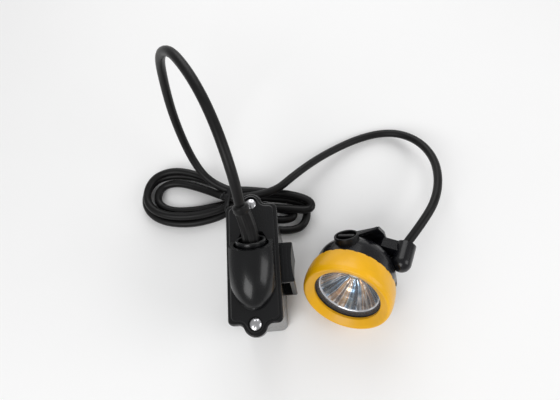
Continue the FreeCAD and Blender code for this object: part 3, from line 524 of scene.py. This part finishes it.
def swept(path: Sequence[Vector], section: Section, upright: Vector,
          closed: bool = False) -> bpy.types.Mesh:
    """Sweep a section along a path.

    Args:
        path: Points along the centreline.
        section: Gives the section's points at a share of the path.
        upright: Direction that the section's second axis leans to at the start.
        closed: Whether the path joins up with itself.

    Returns:
        A closed mesh, with its ends capped unless the path joins up.
    """
    mesh_work = bmesh.new()
    count = len(path)
    rings = []
    for index, point in enumerate(path):
        before = path[index - 1] if index or closed else point
        after = path[(index + 1) % count] if index < count - 1 or closed else point
        heading = (after - before).normalized()
        upright = (upright - heading * upright.dot(heading)).normalized()
        across = upright.cross(heading)
        share = index / (count - 1)
        rings.append([mesh_work.verts.new(point + across * x + upright * y)
                      for x, y in section(share)])
    pairs = list(zip(rings, rings[1:])) + ([(rings[-1], rings[0])] if closed else [])
    for low, high in pairs:
        for index in range(len(low)):
            beyond = (index + 1) % len(low)
            mesh_work.faces.new((low[index], low[beyond], high[beyond], high[index]))
    if not closed:
        mesh_work.faces.new(rings[0][::-1])
        mesh_work.faces.new(rings[-1])
    return finished(mesh_work)


def finished(mesh_work: bmesh.types.BMesh) -> bpy.types.Mesh:
    """Turn mesh work into a smooth-shaded mesh with outward normals.

    Args:
        mesh_work: The work, which is freed.

    Returns:
        The mesh.
    """
    bmesh.ops.recalc_face_normals(mesh_work, faces=mesh_work.faces)
    mesh = bpy.data.meshes.new("work")
    mesh_work.to_mesh(mesh)
    mesh_work.free()
    mesh.shade_smooth()
    return mesh


def circle(radius: float, count: int) -> list[tuple[float, float]]:
    """Make the points of a circle.

    Args:
        radius: The circle's radius.
        count: How many points it has.

    Returns:
        The points.
    """
    return [(radius * math.cos(2 * math.pi * index / count),
             radius * math.sin(2 * math.pi * index / count)) for index in range(count)]


def piece(name: str, mesh: bpy.types.Mesh, finish: bpy.types.Material,
          replaced: Iterable[str] = (), body: str = "root") -> bpy.types.Object:
    """Add a piece that rides on a body.

    Args:
        name: The piece's name.
        mesh: Its mesh, in the lamp's frame.
        finish: Its material.
        replaced: CAD nodes that it stands for.
        body: The body that it rides on.

    Returns:
        The new object.
    """
    mesh.name = name
    mesh.materials.append(finish)
    thing = bpy.data.objects.new(name, mesh)
    bpy.context.scene.collection.objects.link(thing)
    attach(thing, body)
    if replaced:
        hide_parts(*replaced)
    LOG.info("piece %s: %d faces", name, len(mesh.polygons))
    return thing


def middle(node: str) -> Vector:
    """Middle of a CAD node's box."""
    low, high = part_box(node)
    return (low + high) / 2


# ---- studio and camera

@dataclass(frozen=True)
class Panel:
    """Square soft light at a place, pointed at another."""

    name: str
    place: tuple[float, float, float]
    aim: tuple[float, float, float]
    size: float
    watts: float

    def build(self) -> None:
        """Hang the light."""
        data = bpy.data.lights.new(self.name, "AREA")
        data.size = self.size
        data.energy = self.watts
        lamp = bpy.data.objects.new(self.name, data)
        lamp.location = self.place
        towards = Vector(self.aim) - Vector(self.place)
        lamp.rotation_euler = towards.to_track_quat("-Z", "Y").to_euler()
        bpy.context.scene.collection.objects.link(lamp)


@dataclass
class Studio:
    """White table, soft light from above and a camera at arm's length."""

    camera_place: Vector = Vector((0.03408, -0.06694, 0.36909))
    camera_tilt: float = 20.87
    camera_roll: float = 4.07
    camera_turn: float = -3.71
    lens_length: float = 27.64
    sensor_width: float = 36.0
    nearest: float = 0.01
    floor_radius: float = 2.2
    floor_tones: tuple = ((0.90, 0.90, 0.90), (0.94, 0.94, 0.94))
    sky: float = 0.42
    panels: tuple = (
        Panel("key_panel", (-0.35, -0.55, 0.75), (0.0, 0.0, 0.05), 0.55, 4.2),
        Panel("fill_panel", (0.75, -0.15, 0.60), (0.03, 0.0, 0.04), 0.50, 2.2),
        Panel("back_panel", (0.05, 0.80, 0.65), (0.0, 0.05, 0.05), 0.70, 3.6))

    def build(self) -> None:
        """Make the floor, the lights and the camera."""
        self.camera()
        self.floor()
        for panel in self.panels:
            panel.build()
        world = bpy.data.worlds.new("soft_room")
        bpy.context.scene.world = world
        world.use_nodes = True
        sky = world.node_tree.nodes["Background"]
        sky.inputs["Color"].default_value = (1.0, 1.0, 1.0, 1.0)
        sky.inputs["Strength"].default_value = self.sky
        bpy.context.scene.view_settings.view_transform = "Standard"

    def camera(self) -> None:
        """Make the camera."""
        data = bpy.data.cameras.new("camera")
        data.lens = self.lens_length
        data.sensor_width = self.sensor_width
        data.clip_start = self.nearest
        camera = bpy.data.objects.new("camera", data)
        camera.location = self.camera_place
        camera.rotation_euler = [math.radians(angle) for angle in
                                 (self.camera_tilt, self.camera_roll, self.camera_turn)]
        bpy.context.scene.collection.objects.link(camera)
        bpy.context.scene.camera = camera

    def floor(self) -> None:
        """Make the pale table top."""
        mesh_work = bmesh.new()
        bmesh.ops.create_circle(mesh_work, cap_ends=True, segments=64, radius=self.floor_radius)
        mesh = finished(mesh_work)
        shader = Shader("table_white")
        mottle = shader.noise(4.0, 3.0)
        shader.constants(Base_Color=shader.blend(mottle, *self.floor_tones),
                         Roughness=0.7 + mottle * 0.1)
        mesh.materials.append(shader.material)
        floor = bpy.data.objects.new("floor", mesh)
        bpy.context.scene.collection.objects.link(floor)


# ---- cable

class Side(Enum):
    """Which lobe of the hank a fold goes round."""

    RIGHT = 1
    LEFT = -1


@dataclass(frozen=True)
class Fold:
    """One pass of cable round a lobe, in millimetres from the hank's waist.

    The widths are how far the leaving and the returning strand stand off the hank's axis, and the
    heights are theirs and the tip's.
    """

    side: Side
    reach: float
    leaving_width: float
    returning_width: float
    leaving_height: float
    tip_height: float
    returning_height: float
    pinch: float = 0.45
    fullness: float = 0.55


@dataclass
class Cable:
    """Cable from the pack's sleeve round its tall loop, through the hank and to the headpiece."""

    diameter: float = 7.0
    waist: tuple[float, float] = (-27.5, 74.5)
    waist_turn: float = -12.0
    points_per_fold: int = 8
    rise_share: float = 0.45
    tip_share: float = 0.4
    loop: tuple = (
        (-4.0, 31.5, 112.0), (-4.3, 39.6, 124.0), (-7.4, 54.5, 137.5), (-12.8, 73.0, 146.0),
        (-20.0, 91.5, 152.0), (-29.5, 110.0, 154.5), (-41.0, 128.0, 150.5), (-54.0, 140.5, 133.0),
        (-60.5, 141.5, 104.0), (-63.0, 132.0, 73.0), (-60.0, 117.5, 47.0), (-54.0, 104.0, 30.0),
        (-45.0, 92.5, 20.0))
    lead: tuple = (
        (12.0, 74.5, 20.5), (33.0, 90.5, 21.0), (52.5, 106.5, 13.5), (74.0, 119.5, 8.0),
        (96.0, 129.0, 5.0), (117.0, 132.5, 5.2), (135.0, 128.0, 8.5), (149.0, 114.0, 14.5),
        (155.0, 94.0, 22.0), (152.5, 72.5, 31.0), (145.0, 52.0, 38.0), (133.0, 34.5, 41.5),
        (114.93, 15.59, 38.41))
    slots: tuple = ((7.0, 17.1), (-3.5, 11.0), (3.5, 11.0), (-7.0, 5.0), (7.0, 5.0), (0.0, 5.0),
                    (0.0, 17.1))
    folds: tuple = (
        Fold(Side.RIGHT, 75.5, 14.5, 1.0, 12.5, 12.0, 11.0),
        Fold(Side.LEFT, 80.0, 26.5, 30.0, 11.3, 11.6, 11.5, 0.40, 0.85),
        Fold(Side.RIGHT, 72.0, 11.5, 24.5, 5.0, 4.8, 4.8),
        Fold(Side.LEFT, 83.0, 31.0, 26.5, 5.0, 4.9, 4.9, 0.35, 0.85),
        Fold(Side.RIGHT, 60.0, -1.5, 14.0, 6.0, 5.0, 5.0, 0.50),
        Fold(Side.LEFT, 71.5, 20.5, 20.0, 5.0, 5.2, 7.0, 0.75, 0.85))

    def across_waist(self, along: float, off: float, height: float) -> Vector:
        """Place a point from the hank's waist.

        Args:
            along: Distance along the hank's axis, in millimetres.
            off: Distance off the axis.
            height: Height over the table.

        Returns:
            The point, in millimetres.
        """
        turn = math.radians(self.waist_turn)
        return Vector((self.waist[0] + along * math.cos(turn) - off * math.sin(turn),
                       self.waist[1] + along * math.sin(turn) + off * math.cos(turn), height))

    def fold_points(self, fold: Fold, leaving: tuple, returning: tuple) -> list[Vector]:
        """Points of one fold between its two places in the waist.

        Args:
            fold: The fold.
            leaving: Offset and height of the strand that leaves the waist.
            returning: Offset and height of the strand that comes back.

        Returns:
            The control points.
        """
        points = []
        side = fold.side.value
        for index in range(1, self.points_per_fold + 1):
            angle = 2 * math.pi * index / (self.points_per_fold + 1)
            share = (1 - math.cos(angle)) / 2
            first = angle < math.pi
            slot = leaving if first else returning
            width = fold.leaving_width if first else -fold.returning_width
            height = fold.leaving_height if first else fold.returning_height
            off = (side * width * abs(math.sin(angle)) ** fold.fullness * share ** fold.pinch
                   + slot[0] * (1 - share) ** 2)
            rise = slot[1] + (height - slot[1]) * eased(share / self.rise_share)
            near_tip = (share - (1 - self.tip_share)) / self.tip_share
            rise += (fold.tip_height - height) * eased(near_tip)
            points.append(self.across_waist(side * share * fold.reach, off, rise))
        return points

    def route(self) -> list[Vector]:
        """Lay out the whole cable.

        Returns:
            Every control point, in metres.
        """
        points = [Vector(point) for point in self.loop]
        for fold, leaving, returning in zip(self.folds, self.slots, self.slots[1:]):
            points.append(self.across_waist(0.0, *leaving))
            points += self.fold_points(fold, leaving, returning)
        points.append(self.across_waist(0.0, *self.slots[-1]))
        points += [Vector(point) for point in self.lead]
        return [point * MILLIMETRE for point in points]

    def build(self, tie: bpy.types.Object) -> bpy.types.Object:
        """Make the cable.

        Args:
            tie: The tie that holds its hank; not used.

        Returns:
            The cable's curve.
        """
        curve = bpy.data.curves.new("cable", "CURVE")
        curve.dimensions = "3D"
        spline = curve.splines.new("NURBS")
        route = self.route()
        spline.points.add(len(route) - 1)
        for control, point in zip(spline.points, route):
            control.co = (*point, 1.0)
        spline.order_u = 3
        spline.use_endpoint_u = True
        spline.resolution_u = 8
        curve.bevel_depth = self.diameter / 2 * MILLIMETRE
        curve.bevel_resolution = 7
        curve.use_fill_caps = True
        curve.materials.append(Finish.CABLE_RUBBER.made())
        cable = bpy.data.objects.new("cable", curve)
        bpy.context.scene.collection.objects.link(cable)
        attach(cable, "root")
        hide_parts("cord_loop", "cord_lead", "cord_hank")
        return cable


def eased(share: float) -> float:
    """Smooth a share that is first held between 0 and 1.

    Args:
        share: The share.

    Returns:
        The smoothed share.
    """
    share = min(max(share, 0.0), 1.0)
    return share * share * (3 - 2 * share)


@dataclass
class WireTie:
    """Flat wire tie round the hank's waist, with its ends twisted together on top."""

    width: float = 4.0
    thickness: float = 1.1
    core: float = 0.55
    half_across: float = 10.9
    low: float = 1.0
    high: float = 21.2
    squareness: float = 0.42
    turn: float = -12.0
    twist_start: float = 2.2
    twist_length: float = 11.0
    twist_turns: float = 2.5
    curl: float = 2.3
    strand: float = 0.85
    steps: int = 64

    def band_section(self, share: float) -> list[tuple[float, float]]:
        """Section of a flat strip with a round wire core along its middle.

        Args:
            share: Share of the band's path, which changes nothing.

        Returns:
            The section's points, in metres.
        """
        half = self.width / 2 * MILLIMETRE
        thin = self.thickness / 2 * MILLIMETRE
        core = (self.thickness / 2 + self.core) * MILLIMETRE
        edge = [(-half, 0.0), (-half * 0.92, thin), (-half * 0.3, thin), (-half * 0.12, core),
                (half * 0.12, core), (half * 0.3, thin), (half * 0.92, thin)]
        return edge + [(-x, -y) for x, y in edge]

    def band_path(self) -> list[Vector]:
        """Lay out a rounded frame round the waist, in its upright plane.

        Returns:
            The band's centreline, in metres.
        """
        centre = middle("hank_tie")
        turn = math.radians(self.turn)
        across = Vector((-math.sin(turn), math.cos(turn), 0.0))
        mid_height = (self.low + self.high) / 2
        half_height = (self.high - self.low) / 2
        path = []
        for index in range(self.steps):
            angle = 2 * math.pi * index / self.steps
            x, z = (math.copysign(abs(part) ** self.squareness, part) * half for part, half in
                    ((math.cos(angle), self.half_across), (math.sin(angle), half_height)))
            path.append(Vector((centre.x, centre.y, 0.0)) + across * x * MILLIMETRE
                        + Vector((0.0, 0.0, (mid_height + z) * MILLIMETRE)))
        return path

    def twist(self, phase: float) -> bpy.types.Mesh:
        """Make one of the two twisted ends, which curls away at its tip.

        Args:
            phase: Angle at which its twist starts.

        Returns:
            Its mesh.
        """
        centre = middle("hank_tie")
        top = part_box("hank_tie")[1].z - self.twist_start * MILLIMETRE
        path = []
        for index in range(self.steps):
            share = index / (self.steps - 1)
            bend = share * self.curl
            along = self.twist_length * math.sin(bend) / self.curl * 1.6
            rise = self.twist_length * (1 - math.cos(bend)) / self.curl * 0.55
            angle = phase + 2 * math.pi * self.twist_turns * share
            spread = (0.85 + 2.2 * eased((share - 0.75) / 0.25)) * self.strand
            path.append(Vector((centre.x, centre.y, top)) + Vector((
                -0.55 * along + spread * math.cos(angle) * 0.6,
                -0.30 * along + spread * math.cos(angle),
                0.7 + rise + spread * math.sin(angle) * 0.8)) * MILLIMETRE)
        return swept(path, lambda share: circle(self.strand * MILLIMETRE, 10), Vector((0, 0, 1)))

    def build(self) -> bpy.types.Object:
        """Make the tie.

        Returns:
            The band, which the twisted ends are joined to.
        """
        turn = math.radians(self.turn)
        outward = Vector((-math.sin(turn), math.cos(turn), 0.0))
        work = bmesh.new()
        for mesh in (swept(self.band_path(), self.band_section, outward, closed=True),
                     self.twist(0.0), self.twist(math.pi)):
            work.from_mesh(mesh)
        return piece("wire_tie", finished(work), Finish.TIE_BLACK.made(),
                     ["hank_tie"])


@dataclass
class SleeveRelief:
    """Ribbed rubber sleeve moulded on the cable where it leaves the pack's scoop."""

    tip: Vector = Vector((-4.0, 31.5, 112.0))
    rib_count: int = 7
    rib_height: float = 0.75
    plug_radius: float = 6.0
    foot_radius: float = 7.8
    base_radius: float = 5.7
    tip_radius: float = 5.0
    mouth_tilt: float = 34.0
    plug_length: float = 8.2
    plug_end: float = 0.035
    foot_end: float = 0.095
    collar_start: float = 0.86
    steps: int = 72
    around: int = 84

    def centreline(self) -> list[Vector]:
        """Lay out the bent line from inside the nut to the tip.

        Returns:
            The centreline, in metres.
        """
        low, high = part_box("gland_seal")
        start = (low + high) / 2
        tilt = math.radians(self.mouth_tilt)
        normal = Vector((0.0, math.cos(tilt), math.sin(tilt)))
        root = start + normal * self.plug_length * MILLIMETRE
        tip = self.tip * MILLIMETRE
        reach = (tip - root).length
        lead_out = (tip - root).normalized() + Vector((0.0, -0.05, 0.10))
        path = []
        for index in range(self.steps):
            share = index / (self.steps - 1)
            flat = root + normal * reach * share
            aimed = tip - lead_out.normalized() * reach * (1 - share)
            path.append(flat.lerp(aimed, eased(share)))
        return [start, start + normal * 4.0 * MILLIMETRE, start + normal * 7.0 * MILLIMETRE] + path

    def section(self, share: float) -> list[tuple[float, float]]:
        """Section of the sleeve: plug and foot, ribbed body, collar, rounded end.

        Args:
            share: Share of the sleeve's length.

        Returns:
            The section's points, in metres.
        """
        body = self.base_radius + (self.tip_radius - self.base_radius) * share
        ribs = 0.0
        if share < self.plug_end:
            radius = self.plug_radius
        elif share < self.foot_end:
            radius = self.foot_radius - 1.4 * eased((share - self.foot_end + 0.04) / 0.04)
        elif share < self.collar_start:
            fade = eased((share - 0.10) / 0.08) * (1 - eased((share - 0.82) / 0.04))
            radius, ribs = body - 0.35 * fade, self.rib_height * fade
        else:
            swell = eased((share - self.collar_start) / 0.02)
            swell *= 1 - eased((share - 0.965) / 0.035) * 0.3
            radius = body + 0.45 * swell - 1.1 * eased((share - 0.97) / 0.03)
        points = []
        for index in range(self.around):
            angle = 2 * math.pi * index / self.around
            wave = abs(math.cos(self.rib_count * angle / 2)) ** 6
            reach = (radius + ribs * wave) * MILLIMETRE
            points.append((reach * math.cos(angle), reach * math.sin(angle)))
        return points

    def build(self) -> bpy.types.Object:
        """Make the sleeve.

        Returns:
            The sleeve.
        """
        mesh = swept(self.centreline(), self.section, Vector((1, 0, 0)))
        return piece("strain_sleeve", mesh, Finish.CABLE_RUBBER.made(),
                     ["strain_relief"])


# ---- headpiece

@dataclass
class Headpiece:
    """Places and axes of the headpiece, read from its round pieces."""

    rim_radius: float = 23.2
    neck_radius: float = 5.0
    bowl_depth: float = 18.0
    fan_count: int = 18
    tier_count: int = 4
    bulge: float = 0.42
    emitter_rise: float = 0.5
    rim_lip: float = 0.25
    neck_lip: float = 1.2
    neck_drop: float = 0.9
    around_fan: int = 8
    along_tier: int = 8

    def __post_init__(self) -> None:
        """Read the lens axis from the lens and the board under the emitter."""
        self.lens_middle = middle("lens")
        self.axis = (self.lens_middle - middle("led_board")).normalized()
        self.across = self.axis.orthogonal().normalized()
        self.upward = self.axis.cross(self.across)

    def bowl(self) -> bpy.types.Object:
        """Make the plated bowl, its inside set with shallow pillowed facets in fans and tiers.

        Returns:
            The bowl.
        """
        work = bmesh.new()
        bottom = middle("main_led") + self.axis * self.emitter_rise * MILLIMETRE
        around = self.fan_count * self.around_fan
        along = self.tier_count * self.along_tier
        rings = []
        for ring in range(along + 1):
            share = ring / along
            radius = self.neck_radius + (self.rim_radius - self.neck_radius) * share ** 0.85
            tier, within = divmod(share * self.tier_count, 1.0)
            rings.append([self.bowl_point(bottom, radius, tier, within, step, around)
                          for step in range(around)])
        back, low_back = (
            [self.lathe_point(bottom, radius, height, step, around) for step in range(around)]
            for radius, height in ((self.rim_radius + self.rim_lip, self.bowl_depth),
                                   (self.neck_radius + self.neck_lip, -self.neck_drop)))
        loops = [[work.verts.new(point) for point in loop] for loop in rings + [back, low_back]]
        for low, high in zip(loops, loops[1:] + loops[:1]):
            for index in range(around):
                beyond = (index + 1) % around
                work.faces.new((low[index], low[beyond], high[beyond], high[index]))
        rim_depth = (bottom - self.lens_middle).dot(self.axis) + self.bowl_depth * MILLIMETRE
        # The bowl's plated finish, coloured with painted reflections and a painted highlight at the
        # rim.
        plating = BowlPaintedReflections("reflector_chrome", self.lens_middle, self.axis,
                              rim_depth).material()
        return piece("faceted_bowl", finished(work), plating, ["reflector"])

    def lathe_point(self, base: Vector, radius: float, height: float, step: int,
                    around: int) -> Vector:
        """Place a point about the lens axis.

        Args:
            base: The bowl's bottom on the axis.
            radius: Distance from the axis, in millimetres.
            height: Height over the bottom, in millimetres.
            step: The point's number round the axis.
            around: How many points go round.

        Returns:
            The point, in metres.
        """
        angle = 2 * math.pi * step / around
        return base + (self.axis * height + self.across * radius * math.cos(angle)
                       + self.upward * radius * math.sin(angle)) * MILLIMETRE

    def bowl_point(self, base: Vector, radius: float, tier: float, within: float, step: int,
                   around: int) -> Vector:
        """Place a point of the pillowed inside of the bowl.

        Args:
            base: The bowl's bottom on the axis.
            radius: Distance from the axis before the pillow, in millimetres.
            tier: The tier's number from the bottom.
            within: Share of the way up the tier.
            step: The point's number round the axis.
            around: How many points go round.

        Returns:
            The point, in metres.
        """
        stagger = 0.5 * (tier % 2)
        cell = (step / self.around_fan + stagger) % 1.0
        pillow = math.sin(math.pi * cell) * math.sin(math.pi * within)
        height = self.bowl_depth * (radius / self.rim_radius) ** 2
        return self.lathe_point(base, radius - self.bulge * pillow * 0.6,
                                height + self.bulge * pillow, step, around)


# ---- dressing the carried-over pieces

@dataclass
class Dressing:
    """Which finish each carried-over node wears."""

    def wear(self) -> dict[Finish, tuple[str, ...]]:
        """List the nodes that each finish goes on.

        Returns:
            Node names by finish.
        """
        cells = tuple(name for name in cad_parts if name.startswith("battery_cell_"))
        return {
            Finish.CASE_BLACK: ("battery_case", "top_cover", "gland_nut"),
            Finish.LOOP_BLACK: ("belt_loop",),
            Finish.HEAD_BLACK: ("head_housing", "switch_base", "switch_rotor", "charge_bush"),
            Finish.HOOK_BLACK: ("cap_hook",),
            Finish.KNOB_BLACK: ("switch_knob", "switch_collar"),
            Finish.BEZEL_YELLOW: ("front_bezel",),
            Finish.SEAL_RUBBER: ("cover_gasket", "gland_seal", "lens_seal", "switch_oring",
                                 "cable_grommet"),
            Finish.SEAT_BROWN: ("seat_ring",),
            Finish.LENS: ("lens",),
            Finish.SCREW_CHROME: ("cover_screws",),
            Finish.SCREW_STEEL: ("hook_screws", "switch_shaft", "detent_ball", "detent_spring"),
            Finish.BRASS: ("screw_inserts", "board_pillars", "charge_pin"),
            Finish.NICKEL: ("bus_strips",),
            Finish.ALUMINIUM: ("heat_sink",),
            Finish.BOARD_GREEN: ("protection_board", "driver_board"),
            Finish.BOARD_WHITE: ("led_board",),
            Finish.EMITTER: ("main_led",),
            Finish.HOLDER_GREY: ("cell_tray", "cell_cap"),
            Finish.FOAM: ("foam_pads",),
            Finish.CELL_SLEEVE: cells,
        }

    def build(self) -> None:
        """Put each finish in its nodes' material slots."""
        for finish, names in self.wear().items():
            for name in names:
                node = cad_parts[name]
                if not node.material_slots:
                    node.data.materials.append(finish.made())
                for slot in node.material_slots:
                    slot.material = finish.made()
            LOG.info("%s on %s", finish.name, ", ".join(names))


def main() -> None:
    """Build everything in order."""
    logging.basicConfig(level=logging.INFO, format="%(message)s")
    Studio().build()
    tie = WireTie().build()
    Cable().build(tie)
    SleeveRelief().build()
    Headpiece().bowl()
    Dressing().build()


if __name__ == "__main__":
    main()
